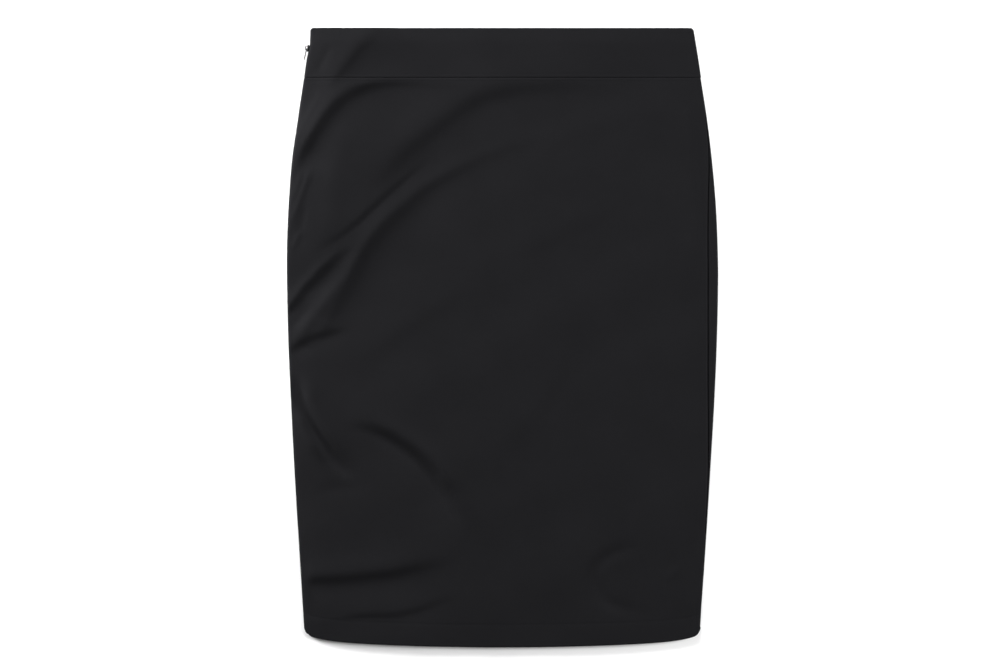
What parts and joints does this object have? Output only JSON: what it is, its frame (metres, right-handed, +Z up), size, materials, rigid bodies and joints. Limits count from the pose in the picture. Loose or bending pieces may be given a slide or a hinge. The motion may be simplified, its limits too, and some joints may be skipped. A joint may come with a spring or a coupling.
{
  "type": "pencil skirt laid flat",
  "caption": "Plain black knee-length pencil skirt in stretch suiting, laid flat with its front up, with a straight waistband, turned-up hem and concealed side zip with a swinging pull.",
  "frame": {"origin": "on the surface that the skirt lies on, under the middle of its outline seen from above", "axes": "+X across the skirt, towards the side with no zip; +Y along it, from the hem to the waist; +Z up out of the surface, from the back panel to the front panel"},
  "size_m": [0.4316, 0.6196, 0.0088],
  "materials": {
    "suiting": "matt black stretch suiting with a faint soft sheen",
    "zip_tape": "black woven zip tape with a nylon coil",
    "zip_metal": "black enamelled metal, satin"
  },
  "bodies": {
    "skirt": {"front_panel": "suiting", "back_panel": "suiting", "waistband_front": "suiting", "waistband_back": "suiting", "zip_tape_front": "zip_tape", "zip_tape_back": "zip_tape", "zip_coil": "zip_tape", "zip_slider": "zip_metal"},
    "pull": {"zip_pull": "zip_metal"}
  },
  "joints": [
    {"name": "pull_swing", "type": "hinge", "parent": "skirt", "child": "pull", "pos_m": [-0.19618, 0.28888, 0.0032], "axis": [0, 0, 1], "range_deg": [-165, 6]}
  ]
}
